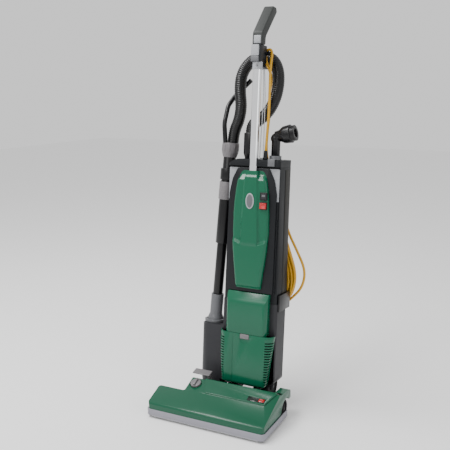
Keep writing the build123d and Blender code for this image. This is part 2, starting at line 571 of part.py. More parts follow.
def make_soft():
    save("hose", route_tube(HOSE_ROUTE, HOSE_R, "hose"), BODY)
    tail = route_tube(TAIL_ROUTE, CORD_R, "cord_tail")
    save("cord_run", Compound([route_tube(CORD_ROUTE, CORD_R, "cord_run"), tail]), BODY)
    top, low = UPPER_HOOK_Z + HOOK_R, LOWER_HOOK_Z - HOOK_R
    outer = [(UPPER_HOOK_X, top + 38), (UPPER_HOOK_X - 46, top - 8), (-13, 480), (-4, 400),
             (-2, low), (45, low - 38), (92, low - 28), (114, 345), (131, 390), (131, 438),
             (112, 494), (76, 580), (UPPER_HOOK_X + 44, top + 20)]
    inner = [(7, top + 1.5), (8, 600), (25, 480), (33, 400), (34, low - 1.5), (56, low - 1.5),
             (60, 380), (58, 430), (48, 520), (29, top + 1.5)]
    winding = front(outer, [20, 30, 80, 60, 20, 20, 24, 24, 30, 30, 60, 90, 20], 124, 152)
    winding -= front(inner, [8, 40, 60, 40, 8, 8, 40, 60, 60, 8], 120, 156)
    save("cord_winding", winding, BODY)
    x, y, z = PLUG_TOP
    plug = rod("Z", 7, z - 20, z, (x, y)) + plan(rectangle(x - 12, x + 12, y - 10, y + 10), 5,
                                                 z - 62, z - 18)
    for pin_x in (x - 6.5, x + 6.5):
        plug += block((pin_x - 3, pin_x + 3), (y - 1, y + 1), (z - 80, z - 60))
    save("plug", plug, BODY)


def main():
    os.makedirs("parts", exist_ok=True)
    make_head()
    make_brush()
    make_head_drive()
    make_wheels()
    make_pedal()
    make_lower_body()
    make_upper_body()
    make_insides()
    make_mast()
    make_tool()
    make_cord_hooks()
    make_wand()
    make_soft()
    print(f"pivot in the body frame: {PIVOT_U:.2f}, {PIVOT_W:.2f}")


main()
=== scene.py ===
"""The looks of an upright vacuum cleaner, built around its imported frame. Metres, Z up."""
import json
import math

import bmesh
import bpy
from mathutils import Matrix, Vector

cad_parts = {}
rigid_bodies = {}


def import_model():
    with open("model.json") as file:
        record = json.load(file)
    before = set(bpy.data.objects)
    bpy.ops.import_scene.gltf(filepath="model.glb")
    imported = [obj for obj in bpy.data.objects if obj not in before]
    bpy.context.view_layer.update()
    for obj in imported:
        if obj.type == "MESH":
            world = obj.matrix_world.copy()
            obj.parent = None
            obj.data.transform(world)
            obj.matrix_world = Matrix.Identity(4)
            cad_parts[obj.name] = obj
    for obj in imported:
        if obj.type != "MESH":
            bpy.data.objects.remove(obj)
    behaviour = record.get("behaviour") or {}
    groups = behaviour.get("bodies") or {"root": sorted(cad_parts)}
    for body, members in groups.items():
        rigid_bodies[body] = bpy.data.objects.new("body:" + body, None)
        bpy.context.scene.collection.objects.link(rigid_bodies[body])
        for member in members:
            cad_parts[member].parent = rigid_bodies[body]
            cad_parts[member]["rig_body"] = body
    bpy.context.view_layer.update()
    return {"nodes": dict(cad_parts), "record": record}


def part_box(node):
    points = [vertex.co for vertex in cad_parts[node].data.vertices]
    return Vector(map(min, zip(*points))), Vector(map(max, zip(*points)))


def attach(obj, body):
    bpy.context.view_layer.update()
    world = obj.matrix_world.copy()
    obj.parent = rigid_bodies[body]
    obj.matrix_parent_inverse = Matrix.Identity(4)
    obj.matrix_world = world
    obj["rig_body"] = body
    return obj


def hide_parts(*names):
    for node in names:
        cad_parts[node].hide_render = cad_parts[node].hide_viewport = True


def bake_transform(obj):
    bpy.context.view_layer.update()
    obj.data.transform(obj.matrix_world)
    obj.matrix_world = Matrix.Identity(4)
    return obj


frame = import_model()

MM = 0.001
ORIGIN_Y = 184.35
LEAN = math.radians(4.5)
WAND_LEAN = math.radians(3.3)
BODY = Matrix.Translation((0.05, (155 - ORIGIN_Y) * MM, 0)) @ Matrix.Rotation(-LEAN, 4, "X")
WAND = BODY @ Matrix.Translation((-0.134, 0.072, 0.247)) @ Matrix.Rotation(WAND_LEAN, 4, "Y")

NODE_SLOT = {part["node"]: part["material_slot"] for part in frame["record"]["subparts"]}
SCENE = bpy.context.scene


def srgb(red, green, blue):
    """A paint-chip colour, 0 to 255, as the linear colour that a shader takes."""
    linear = []
    for value in (red, green, blue):
        share = value / 255
        linear.append(share / 12.92 if share <= 0.04045 else ((share + 0.055) / 1.055) ** 2.4)
    return (*linear, 1.0)


# ---- camera, light and floor ---------------------------------------------------------------
SKY_STRENGTH = 0.95
FLOOR_DROP = 0.0005


def make_camera():
    camera = bpy.data.objects.new("camera", bpy.data.cameras.new("camera"))
    SCENE.collection.objects.link(camera)
    camera.location = (0.8809, -1.8084, 0.9678)
    camera.rotation_euler = (math.radians(78.695), 0, math.radians(26.476))
    camera.data.lens = 55.99
    camera.data.sensor_width = 36
    camera.data.clip_end = 60
    SCENE.camera = camera


def area_light(name, place, aim, size, power):
    lamp = bpy.data.lights.new(name, "AREA")
    lamp.shape = "RECTANGLE"
    lamp.size, lamp.size_y = size
    lamp.energy = power
    light = bpy.data.objects.new(name, lamp)
    light.location = place
    direction = Vector(aim) - Vector(place)
    light.rotation_euler = direction.to_track_quat("-Z", "Y").to_euler()
    SCENE.collection.objects.link(light)


def make_studio():
    world = bpy.data.worlds.new("studio")
    SCENE.world = world
    world.use_nodes = True
    sky = world.node_tree.nodes["Background"]
    sky.inputs["Color"].default_value = (1.0, 1.0, 1.0, 1.0)
    sky.inputs["Strength"].default_value = SKY_STRENGTH
    area_light("key", (-0.9, -2.6, 2.3), (0.0, 0.0, 0.5), (1.4, 1.4), 22)
    area_light("overhead", (-1.0, -0.8, 2.9), (0.0, 0.0, 0.5), (2.0, 0.8), 85)
    area_light("side", (2.4, -0.6, 1.5), (0.0, 0.0, 0.5), (0.9, 1.6), 8)
    deselect()
    bpy.ops.mesh.primitive_plane_add(size=14, location=(0, 2, -FLOOR_DROP))
    floor = bpy.context.active_object
    floor.name = "studio_floor"
    place_in_mesh(floor)
    shade = bpy.data.materials.new("studio_floor")
    shade.use_nodes = True
    surface = shade.node_tree.nodes["Principled BSDF"]
    surface.inputs["Base Color"].default_value = (0.93, 0.93, 0.93, 1)
    surface.inputs["Roughness"].default_value = 0.6
    floor.data.materials.append(shade)


# ---- modelling helpers ---------------------------------------------------------------------
def deselect():
    for chosen in list(bpy.context.selected_objects):
        chosen.select_set(False)


def activate(piece):
    deselect()
    piece.select_set(True)
    bpy.context.view_layer.objects.active = piece


def place_in_mesh(piece):
    """Carries the object's place into its mesh, so that the object sits at the origin."""
    bpy.context.view_layer.update()
    piece.data.transform(piece.matrix_world)
    piece.matrix_world = Matrix.Identity(4)


def apply_modifier(piece, kind, **settings):
    activate(piece)
    modifier = piece.modifiers.new(kind.lower(), kind)
    for name, value in settings.items():
        setattr(modifier, name, value)
    bpy.ops.object.modifier_apply(modifier=modifier.name)


def edit(piece, *steps):
    """Runs edit-mode steps, each a function, on the whole piece."""
    activate(piece)
    bpy.ops.object.mode_set(mode="EDIT")
    bpy.ops.mesh.select_all(action="SELECT")
    for step in steps:
        step()
    bpy.ops.object.mode_set(mode="OBJECT")


def merge():
    bpy.ops.mesh.remove_doubles(threshold=0.00001)


def outward():
    bpy.ops.mesh.normals_make_consistent(inside=False)


def smooth(piece, degrees=40):
    activate(piece)
    bpy.ops.object.shade_smooth_by_angle(angle=math.radians(degrees))


def round_edges(piece, width, segments=2, degrees=38):
    apply_modifier(piece, "BEVEL", width=width * MM, segments=segments, limit_method="ANGLE",
                   angle_limit=math.radians(degrees), use_clamp_overlap=True)
    smooth(piece)


def paint(piece, material):
    piece.data.materials.clear()
    piece.data.materials.append(material)


def settle(piece, body, slot, *nodes, finish=None):
    """Paints a finished piece, hides the nodes it stands for and hands it to the body that carries
    it.
    """
    paint(piece, FINISH[finish or slot])
    if nodes:
        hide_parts(*nodes)
    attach(piece, body)
    return piece


def mesh_piece(name, shape, place):
    """An object from a bmesh that is drawn in millimetres in the given frame."""
    mesh = bpy.data.meshes.new(name)
    shape.transform(place @ Matrix.Scale(MM, 4))
    shape.to_mesh(mesh)
    shape.free()
    piece = bpy.data.objects.new(name, mesh)
    SCENE.collection.objects.link(piece)
    return piece


def loft(rings):
    """Quads between rings of equal count, with the first and last ring filled."""
    shape = bmesh.new()
    made = [[shape.verts.new(point) for point in ring] for ring in rings]
    count = len(rings[0])
    for low, high in zip(made, made[1:]):
        for i in range(count):
            j = (i + 1) % count
            shape.faces.new((low[i], low[j], high[j], high[i]))
    shape.faces.new(made[0])
    shape.faces.new(made[-1])
    bmesh.ops.recalc_face_normals(shape, faces=shape.faces)
    return shape


def block(name, x, y, z, place, bevel=1.0, segments=3):
    """A rounded block from three (low, high) spans in millimetres."""
    deselect()
    bpy.ops.mesh.primitive_cube_add(size=1)
    piece = bpy.context.active_object
    piece.name = name
    size = Matrix.Diagonal((x[1] - x[0], y[1] - y[0], z[1] - z[0], 1))
    middle = Matrix.Translation(((x[0] + x[1]) / 2, (y[0] + y[1]) / 2, (z[0] + z[1]) / 2))
    piece.data.transform(place @ Matrix.Scale(MM, 4) @ middle @ size)
    if bevel:
        round_edges(piece, bevel, segments)
    return piece


def disc(name, radius, low, high, place, turn=Matrix.Identity(4), sides=48, bevel=0.8):
    """A rounded disc along local Z, from low to high, in millimetres."""
    deselect()
    bpy.ops.mesh.primitive_cylinder_add(vertices=sides, radius=1, depth=1)
    piece = bpy.context.active_object
    piece.name = name
    size = Matrix.Diagonal((radius, radius, high - low, 1))
    lift = Matrix.Translation((0, 0, (low + high) / 2))
    piece.data.transform(place @ Matrix.Scale(MM, 4) @ turn @ lift @ size)
    if bevel:
        round_edges(piece, bevel, 3)
    return piece


def cut(piece, cutter):
    apply_modifier(piece, "BOOLEAN", operation="DIFFERENCE", object=cutter, solver="EXACT")
    bpy.data.objects.remove(cutter)


def copy_of(node):
    source = frame["nodes"][node]
    piece = bpy.data.objects.new(node + "_finished", source.data.copy())
    SCENE.collection.objects.link(piece)
    edit(piece, merge, lambda: bpy.ops.mesh.dissolve_limited(angle_limit=math.radians(0.6)))
    return piece


def finished(node, width, segments=2, finish=None):
    """A merged copy of a CAD node with its hard edges rounded."""
    piece = copy_of(node)
    round_edges(piece, width, segments)
    return settle(piece, frame["nodes"][node]["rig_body"], NODE_SLOT[node], node,
                  finish=finish)


def spline_line(points, place, resolution=10):
    """The points that a smooth NURBS line follows through the route's control points."""
    curve = nurbs("route", points, place)
    curve.data.resolution_u = resolution
    bpy.context.view_layer.update()
    graph = bpy.context.evaluated_depsgraph_get()
    mesh = bpy.data.meshes.new_from_object(curve.evaluated_get(graph))
    line = [vertex.co.copy() for vertex in mesh.vertices]
    bpy.data.objects.remove(curve)
    return line


def nurbs(name, points, place):
    data = bpy.data.curves.new(name, "CURVE")
    data.dimensions = "3D"
    spline = data.splines.new("NURBS")
    spline.points.add(len(points) - 1)
    for point, target in zip(points, spline.points):
        target.co = (*(place @ (Vector(point) * MM)), 1)
    spline.order_u = 3
    spline.use_endpoint_u = True
    curve = bpy.data.objects.new(name, data)
    SCENE.collection.objects.link(curve)
    return curve


def line_length(line):
    return sum((b - a).length for a, b in zip(line, line[1:]))


def even_line(line, step):
    """The same line with its points a step apart."""
    total = line_length(line)
    count = max(2, round(total / step))
    spaced, travelled, here = [line[0]], 0.0, 0
    lengths = [(b - a).length for a, b in zip(line, line[1:])]
    for i in range(1, count):
        wanted = total * i / count
        while travelled + lengths[here] < wanted:
            travelled += lengths[here]
            here += 1
        share = (wanted - travelled) / lengths[here]
        spaced.append(line[here].lerp(line[here + 1], share))
    return spaced + [line[-1]]


def tube_rings(line, radii, sides):
    """Rings square to the line, carried along it without twisting."""
    rings = []
    across = None
    for i, point in enumerate(line):
        ahead = (line[min(i + 1, len(line) - 1)] - line[max(i - 1, 0)]).normalized()
        if across is None:
            across = ahead.orthogonal().normalized()
        across = (across - ahead * across.dot(ahead)).normalized()
        other = ahead.cross(across)
        ring = []
        for side in range(sides):
            angle = 2 * math.pi * side / sides
            ring.append(point + radii[i] * (math.cos(angle) * across + math.sin(angle) * other))
        rings.append(ring)
    return rings


# ---- finishes ------------------------------------------------------------------------------
def new_group(name, inputs, outputs):
    tree = bpy.data.node_groups.new(name, "ShaderNodeTree")
    for label, kind, value in inputs:
        socket = tree.interface.new_socket(name=label, in_out="INPUT", socket_type=kind)
        socket.default_value = value
    for label, kind in outputs:
        tree.interface.new_socket(name=label, in_out="OUTPUT", socket_type=kind)
    return tree, tree.nodes.new("NodeGroupInput"), tree.nodes.new("NodeGroupOutput")


def noise(tree, vector, scale, detail=3.0, rough=0.5):
    node = tree.nodes.new("ShaderNodeTexNoise")
    node.inputs["Scale"].default_value = scale
    node.inputs["Detail"].default_value = detail
    node.inputs["Roughness"].default_value = rough
    tree.links.new(vector, node.inputs["Vector"])
    return node


def spread_about(tree, value, centre, amount):
    """centre + (value - 0.5) * amount, where centre and amount may be sockets or numbers."""
    less = tree.nodes.new("ShaderNodeMath")
    less.operation = "SUBTRACT"
    less.inputs[1].default_value = 0.5
    tree.links.new(value, less.inputs[0])
    mix = tree.nodes.new("ShaderNodeMath")
    mix.operation = "MULTIPLY_ADD"
    tree.links.new(less.outputs[0], mix.inputs[0])
    for socket, part in ((mix.inputs[1], amount), (mix.inputs[2], centre)):
        if isinstance(part, (int, float)):
            socket.default_value = part
        else:
            tree.links.new(part, socket)
    return mix.outputs[0]


def moulded_group():
    """Moulded plastic: slow tone drift, a fine spark-eroded grain and uneven gloss."""
    tree, given, put = new_group(
        "moulded_surface",
        [("Colour", "NodeSocketColor", (1, 1, 1, 1)), ("Tone", "NodeSocketFloat", 0.1),
         ("Gloss", "NodeSocketFloat", 0.4), ("Gloss Spread", "NodeSocketFloat", 0.1),
         ("Grain Size", "NodeSocketFloat", 900.0), ("Grain Depth", "NodeSocketFloat", 0.1)],
        [("Colour", "NodeSocketColor"), ("Roughness", "NodeSocketFloat"),
         ("Normal", "NodeSocketVector")])
    place = tree.nodes.new("ShaderNodeTexCoord").outputs["Object"]
    drift = noise(tree, place, 7.0, 4.0)
    tint = tree.nodes.new("ShaderNodeHueSaturation")
    tree.links.new(spread_about(tree, drift.outputs["Fac"], 1.0, given.outputs["Tone"]),
                   tint.inputs["Value"])
    tree.links.new(given.outputs["Colour"], tint.inputs["Color"])
    smear = noise(tree, place, 34.0, 5.0, 0.65)
    grain = noise(tree, place, 900.0, 2.0)
    tree.links.new(given.outputs["Grain Size"], grain.inputs["Scale"])
    bump = tree.nodes.new("ShaderNodeBump")
    bump.inputs["Distance"].default_value = 0.0004
    tree.links.new(given.outputs["Grain Depth"], bump.inputs["Strength"])
    tree.links.new(grain.outputs["Fac"], bump.inputs["Height"])
    tree.links.new(tint.outputs["Color"], put.inputs["Colour"])
    tree.links.new(spread_about(tree, smear.outputs["Fac"], given.outputs["Gloss"],
                                given.outputs["Gloss Spread"]), put.inputs["Roughness"])
    tree.links.new(bump.outputs["Normal"], put.inputs["Normal"])
    return tree


def drawn_metal_group():
    """Drawn or ground metal: fine streaks along one axis, with faint smudges."""
    tree, given, put = new_group(
        "drawn_metal",
        [("Colour", "NodeSocketColor", (1, 1, 1, 1)), ("Streak", "NodeSocketVector", (400, 400, 6)),
         ("Gloss", "NodeSocketFloat", 0.2), ("Depth", "NodeSocketFloat", 0.05)],
        [("Colour", "NodeSocketColor"), ("Roughness", "NodeSocketFloat"),
         ("Normal", "NodeSocketVector")])
    place = tree.nodes.new("ShaderNodeTexCoord").outputs["Object"]
    stretch = tree.nodes.new("ShaderNodeVectorMath")
    stretch.operation = "MULTIPLY"
    tree.links.new(place, stretch.inputs[0])
    tree.links.new(given.outputs["Streak"], stretch.inputs[1])
    streaks = noise(tree, stretch.outputs[0], 1.0, 3.0)
    smudge = noise(tree, place, 22.0, 4.0)
    tint = tree.nodes.new("ShaderNodeHueSaturation")
    tree.links.new(spread_about(tree, streaks.outputs["Fac"], 1.0, 0.10), tint.inputs["Value"])
    tree.links.new(given.outputs["Colour"], tint.inputs["Color"])
    bump = tree.nodes.new("ShaderNodeBump")
    bump.inputs["Distance"].default_value = 0.0002
    tree.links.new(given.outputs["Depth"], bump.inputs["Strength"])
    tree.links.new(streaks.outputs["Fac"], bump.inputs["Height"])
    tree.links.new(tint.outputs["Color"], put.inputs["Colour"])
    tree.links.new(spread_about(tree, smudge.outputs["Fac"], given.outputs["Gloss"], 0.12),
                   put.inputs["Roughness"])
    tree.links.new(bump.outputs["Normal"], put.inputs["Normal"])
    return tree


def material_with(name, group, colour, values, **shader):
    material = bpy.data.materials.new(name)
    material.use_nodes = True
    tree = material.node_tree
    surface = tree.nodes["Principled BSDF"]
    pattern = tree.nodes.new("ShaderNodeGroup")
    pattern.node_tree = group
    pattern.inputs["Colour"].default_value = colour
    for label, value in values.items():
        pattern.inputs[label].default_value = value
    tree.links.new(pattern.outputs["Colour"], surface.inputs["Base Color"])
    tree.links.new(pattern.outputs["Roughness"], surface.inputs["Roughness"])
    tree.links.new(pattern.outputs["Normal"], surface.inputs["Normal"])
    for label, value in shader.items():
        surface.inputs[label.replace("_", " ")].default_value = value
    return material


def plastic(name, colour, gloss=0.4, grain=0.12, size=900.0, tone=0.08, spread=0.12, **shader):
    return material_with(name, MOULDED, colour,
                         {"Tone": tone, "Gloss": gloss, "Gloss Spread": spread,
                          "Grain Size": size, "Grain Depth": grain}, **shader)


def metal(name, colour, gloss=0.25, streak=(400, 400, 6), depth=0.05, **shader):
    return material_with(name, DRAWN, colour,
                         {"Streak": streak, "Gloss": gloss, "Depth": depth}, Metallic=1.0,
                         **shader)


def make_finishes():
    dull = {"Specular_IOR_Level": 0.22}
    glossy = {"Specular_IOR_Level": 0.4}
    return {
        "hood_green": plastic("hood_green", srgb(0, 74, 50), 0.24, 0.05, 1100, **glossy),
        "cover_green": plastic("cover_green", srgb(0, 84, 58), 0.22, 0.04, 1100, **glossy),
        "bumper_grey": plastic("bumper_grey", srgb(134, 133, 142), 0.55, 0.12, 700),
        "base_black": plastic("base_black", srgb(16, 16, 18), 0.5, 0.2, 700, **dull),
        "steel": metal("plated_steel", srgb(190, 191, 193), 0.3, (6, 400, 400)),
        # Darkened steel for the pivot axle: painted shade that sinks the axle into the shaded gap
        # under the body
        "steel_painted_shade": metal("steel_painted_shade", srgb(52, 53, 55), 0.4, (6, 400, 400)),
        "lens_red": plastic("lens_red", srgb(150, 12, 12), 0.12, 0.0, Coat_Weight=0.5),
        "lens_smoked": plastic("lens_smoked", srgb(14, 22, 19), 0.15, 0.0, Coat_Weight=0.3, **dull),
        "motor_grey": plastic("motor_grey", srgb(80, 81, 84), 0.45, 0.15, Metallic=0.4),
        "belt_rubber": plastic("belt_rubber", srgb(20, 20, 20), 0.75, 0.3, 500, **dull),
        "arm_metal": plastic("arm_paint", srgb(18, 18, 20), 0.5, 0.35, 420, Metallic=0.3, **dull),
        "brush_core": plastic("brush_core", srgb(24, 24, 26), 0.35, 0.08, **dull),
        "bristles": plastic("bristles", srgb(34, 35, 38), 0.6, 0.4, 1500, 0.35, **dull),
        "wheel_black": plastic("wheel_black", srgb(14, 14, 16), 0.45, 0.15, **dull),
        "tread": plastic("tread_rubber", srgb(28, 28, 30), 0.8, 0.35, 600, **dull),
        "light_grey": plastic("light_grey", srgb(150, 152, 156), 0.42, 0.12, 1000),
        "mid_grey": plastic("mid_grey", srgb(88, 89, 92), 0.36, 0.12, 1000),
        "knob_grey": plastic("knob_grey", srgb(104, 101, 103), 0.40, 0.12, 1000),
        "casing_dark": plastic("casing_dark", srgb(44, 44, 47), 0.46, 0.22, 800, **dull),
        "housing_dark": plastic("housing_dark", srgb(20, 22, 25), 0.46, 0.22, 800, **dull),
        "rail_olive": plastic("rail_olive", srgb(36, 35, 32), 0.5, 0.25, 800, **dull),
        "black_plastic": plastic("black_plastic", srgb(11, 11, 13), 0.3, 0.12, 900,
                                 Specular_IOR_Level=0.32),
        "grip_grey": plastic("grip_grey", srgb(50, 52, 51), 0.5, 0.3, 700, **dull),
        "chrome": metal("chrome_plate", srgb(244, 245, 247), 0.08, (500, 500, 4), 0.02),
        "switch_red": plastic("switch_red", srgb(170, 16, 16), 0.28, 0.03, 900, 0.05),
        "screw_steel": metal("screw_steel", srgb(120, 121, 124), 0.35, (300, 300, 300)),
        "fan_grey": plastic("fan_grey", srgb(95, 96, 99), 0.35),
        "bag_paper": plastic("bag_paper", srgb(206, 194, 168), 0.85, 0.5, 260, 0.14),
        "filter_foam": plastic("filter_foam", srgb(62, 63, 67), 0.95, 0.9, 520, 0.3),
        "hose_black": plastic("hose_black", srgb(7, 7, 8), 0.3, 0.08, 700, Specular_IOR_Level=0.35),
        "cord_yellow": plastic("cord_yellow", srgb(196, 146, 8), 0.48, 0.10, 700, 0.14),
        "plug_black": plastic("plug_black", srgb(16, 16, 18), 0.5, 0.2, **dull),
    }


# ---- cleaning head -------------------------------------------------------------------------
HOOD_SLOPE = 0.3805
LENS_MIDDLE = 0.80
LENS_SHARE = 0.32
TUFTS_A_ROW = 46
TUFT_ROOT = 17.6
TUFT_SIDES = 6


def make_head():
    for node, width in (("head_hood", 1.8), ("bumper_strip", 1.0), ("head_base", 0.5),
                        ("sole_plate", 0.4), ("yoke_arms", 1.2),
                        ("front_roller_left", 0.6), ("front_roller_right", 0.6),
                        ("side_wheel_left", 0.7), ("side_wheel_right", 0.7),
                        ("rear_wheel_left", 0.9), ("rear_wheel_right", 0.9)):
        finished(node, width)
    finished("height_knob", 1.0, finish="knob_grey")
    finished("release_pedal", 0.8, finish="knob_grey")
    # The pivot axle is painted dark: painted shade for the gap between the head and the body
    finished("pivot_axle", 0.6, finish="steel_painted_shade")
    finished("indicator_window", 0.4, finish="lens_smoked")
    low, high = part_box("indicator_window")
    width = high.x - low.x
    middle = Vector((low.x + LENS_MIDDLE * width, (low.y + high.y) / 2, (low.z + high.z) / 2))
    slope = Matrix.Translation(middle) @ Matrix.Rotation(HOOD_SLOPE, 4, "X")
    half = LENS_SHARE / 2 * width / MM
    lens = block("indicator_lens", (-half, half), (-5.6, 5.6), (0.0, 1.6), slope, 0.4, 2)
    settle(lens, "head", "lens_red")


def tuft_ring(middle_x, width, height, axis):
    points = []
    for side in range(TUFT_SIDES):
        angle = 2 * math.pi * side / TUFT_SIDES
        flat = Vector((middle_x + width * math.cos(angle), width * math.sin(angle), height))
        points.append(axis @ flat)
    return points


def make_brush():
    """Nylon tufts set in two winding rows round the brush roll."""
    low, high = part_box("brush_bristles")
    middle = (low + high) / 2
    tip = (high.z - low.z) / 2 / MM
    shape = bmesh.new()
    for row in range(2):
        for i in range(TUFTS_A_ROW):
            x = (low.x + (high.x - low.x) * (i + 0.5) / TUFTS_A_ROW - middle.x) / MM
            turn = math.radians(180 * row + 350 * i / TUFTS_A_ROW)
            axis = Matrix.Rotation(turn, 4, "X")
            made = []
            for height, width in ((TUFT_ROOT, 1.8), (tip - 2.5, 2.6), (tip - 0.4, 2.9)):
                ring = tuft_ring(x, width, height, axis)
                made.append([shape.verts.new(point) for point in ring])
            for below, above in zip(made, made[1:]):
                for k in range(TUFT_SIDES):
                    m = (k + 1) % TUFT_SIDES
                    shape.faces.new((below[k], below[m], above[m], above[k]))
            shape.faces.new(made[0])
            shape.faces.new(made[-1])
    bmesh.ops.recalc_face_normals(shape, faces=shape.faces)
    tufts = mesh_piece("brush_tufts", shape, Matrix.Translation(middle))
    smooth(tufts, 50)
    settle(tufts, "brush", "bristles", "brush_bristles")


# ---- lower body ----------------------------------------------------------------------------
FINGER_HOLD_Z = 226
FINGER_HOLD_R = 15


def make_lower_body():
    casing = copy_of("lower_casing")
    round_edges(casing, 1.2)
    settle(casing, "body", "casing_dark", "lower_casing")
    cover = copy_of("lower_cover")
    facing = Matrix.Translation((0, 0, FINGER_HOLD_Z)) @ Matrix.Rotation(math.radians(-90), 4, "X")
    cut(cover, disc("recess", FINGER_HOLD_R, -3, 1.0, BODY, facing, 40, 0))
    cut(cover, block("seam", (-37.4, -36.6), (-2, 0.7), (86, 239), BODY, 0))
    round_edges(cover, 0.7)
    settle(cover, "cover", "cover_green", "lower_cover")
    finished("latch_button", 1.0, finish="knob_grey")
    finished("mid_cover", 1.0)
    finished("pocket_rim", 0.8, finish="mid_grey")


# ---- upper body ----------------------------------------------------------------------------
COVER_OUTLINE = ((379, 40.6), (425, 46), (455, 50), (500, 55), (548, 58), (600, 57.3),
                 (640, 54.8), (680, 50), (700, 46.5), (715, 41), (723, 36), (728, 29))
COVER_FOOT = 379.5
COVER_TOP = 727.5
COVER_BACK = 17.8
COVER_WALL = 2.0
SPINE_END = 512
SPINE_WIDE = 26
CREST = 709
EDGE_RADIUS = 9
BADGE_Z = 639.5
INDICATOR_Z = 655
SWITCH_Z = 628
PANEL_FOOT = 640


def cover_half_width(w):
    """Half the upper cover's width at height w, from its foot through its chest to its top."""
    for (w0, half0), (w1, half1) in zip(COVER_OUTLINE, COVER_OUTLINE[1:]):
        if w <= w1:
            share = (w - w0) / (w1 - w0)
            return half0 + (half1 - half0) * share
    return COVER_OUTLINE[-1][1]


def soft_step(value, low, high):
    share = min(1.0, max(0.0, (value - low) / (high - low)))
    return share * share * (3 - 2 * share)


def cover_depth(x, w, half):
    """How far back the cover's face lies: a proud spine between two sunk panels."""
    crown = 2.4 * (x / 60) ** 2
    spine_half = SPINE_WIDE - 8 * min(1.0, max(0.0, (w - 535) / 177))
    if w < SPINE_END:
        spine_half = math.sqrt(max(0.0, SPINE_WIDE ** 2 - (SPINE_END - w) ** 2))
    proud = soft_step(abs(x), spine_half + 4.0, spine_half - 0.5) if spine_half > 1 else 0.0
    chest_edge = 508 + 0.45 * max(0.0, abs(x) - 24)
    chest = soft_step(w, chest_edge + 9, chest_edge - 3)
    scoop = 3.2 + 2.6 * soft_step(w, 640, 540)
    panel = scoop * (1 - proud) * (1 - chest)
    shoulder = 0.8 * max(0.0, w - CREST + 9 * (1 - proud))
    shoulder = min(shoulder, 5.0 + 12 * (1 - proud))
    rim = max(0.0, abs(x) - (half - EDGE_RADIUS)) / EDGE_RADIUS
    side = EDGE_RADIUS * (1 - math.sqrt(max(0.0, 1 - min(1.0, rim) ** 2)))
    foot = 6.0 * soft_step(w, 390, 380)
    return min(17.0, crown + panel + 1.2 * chest + shoulder + side + foot)


def make_upper_cover():
    """A crowned cover over the bag door, its face a grid that follows the spine and panels."""
    columns, rows = 56, 150
    shape = bmesh.new()
    face = []
    for row in range(rows + 1):
        w = COVER_FOOT + (COVER_TOP - COVER_FOOT) * row / rows
        half = cover_half_width(w) - 0.3
        line = []
        for column in range(columns + 1):
            across = 2 * column / columns - 1
            x = half * (0.35 * math.sin(math.pi / 2 * across) + 0.65 * across)
            line.append(shape.verts.new((x, 0.4 + cover_depth(x, w, half), w)))
        face.append(line)
    for low, high in zip(face, face[1:]):
        for left in range(columns):
            shape.faces.new((low[left], low[left + 1], high[left + 1], high[left]))
    rim = [edge for edge in shape.edges if edge.is_boundary]
    made = bmesh.ops.extrude_edge_only(shape, edges=rim)["geom"]
    for vertex in (item for item in made if isinstance(item, bmesh.types.BMVert)):
        vertex.co.y = COVER_BACK
    bmesh.ops.recalc_face_normals(shape, faces=shape.faces)
    cover = mesh_piece("upper_cover_face", shape, BODY)
    edit(cover, outward)
    apply_modifier(cover, "SOLIDIFY", thickness=COVER_WALL * MM, offset=-1)
    round_edges(cover, 0.5, 2, 50)
    settle(cover, "body", "cover_green", "upper_cover")


def make_badge():
    """A plain oval plate with a darker inlay."""
    facing = Matrix.Translation((0, 0, BADGE_Z)) @ Matrix.Rotation(math.radians(90), 4, "X")
    for name, half_x, half_z, low, high, bevel, slot in (
            ("badge_plate", 13, 23, -0.6, 1.2, 0.5, "light_grey"),
            ("badge_inlay", 9.8, 19.5, 1.0, 1.6, 0.25, "mid_grey")):
        oval = facing @ Matrix.Diagonal((half_x, half_z, 1, 1))
        settle(disc(name, 1, low, high, BODY, oval, 64, bevel), "body", slot)


def bezel(name, z):
    """The dark surround of one square fitting, centred at height z."""
    return block(name, (31, 53.4), (1.2, 6), (z - 11.2, z + 11.2), BODY, 0.9)


def make_switches():
    """The bag indicator above, and below it the power rocker in its own surround."""
    z = INDICATOR_Z
    settle(bezel("indicator_bezel", z), "body", "black_plastic")
    dial = block("indicator_dial", (34, 50.5), (0.7, 1.6), (z - 8, z + 8), BODY, 0.5)
    settle(dial, "body", "casing_dark")
    needle = block("indicator_needle", (37, 47.5), (0.2, 0.9), (z - 1, z + 5), BODY, 0.25)
    settle(needle, "body", "mid_grey")
    z = SWITCH_Z
    surround = bezel("switch_bezel", z)
    cut(surround, block("hole", (31.6, 52.4), (-1, 8), (z - 9.9, z + 9.9), BODY, 0))
    smooth(surround)
    settle(surround, "body", "black_plastic")
    finished("power_switch", 0.6)


def make_housing():
    for node, width in (("hose_socket", 1.0), ("strain_relief", 0.5), ("suction_motor", 0.8),
                        ("suction_fan", 0.4), ("dust_bag", 3.0), ("exhaust_filter", 1.5),
                        ("lower_cord_hook", 1.2), ("upper_cord_hook", 1.2)):
        finished(node, width)
    finished("backing_plate", 1.2, finish="housing_dark")
    finished("bag_housing", 1.8, 3, finish="housing_dark")
    finished("top_cap", 1.6, 3, finish="housing_dark")
    finished("tool_holder", 0.8, finish="mid_grey")
    for cut_low, cut_high, slot, finish in ((100, PANEL_FOOT, "light_grey", "light_grey"),
                                            (PANEL_FOOT, 900, "casing_dark", "housing_dark")):
        panel = copy_of("front_panel")
        cut(panel, block("cutter", (-200, 200), (-60, 200), (cut_low, cut_high), BODY, 0))
        smooth(panel)
        settle(panel, "body", slot, "front_panel", finish=finish)
    taper = math.atan2(6, 405)
    for name, side in (("side_rail_left", -1), ("side_rail_right", 1)):
        place = BODY @ Matrix.Translation((side * 0.083, 0, 0.5375))
        place = place @ Matrix.Rotation(-side * taper, 4, "Y")
        rail = block(name, (-1.4, 1.4), (70, 106), (-196, 194), place, 1.2)
        settle(rail, "body", "casing_dark", finish="rail_olive")


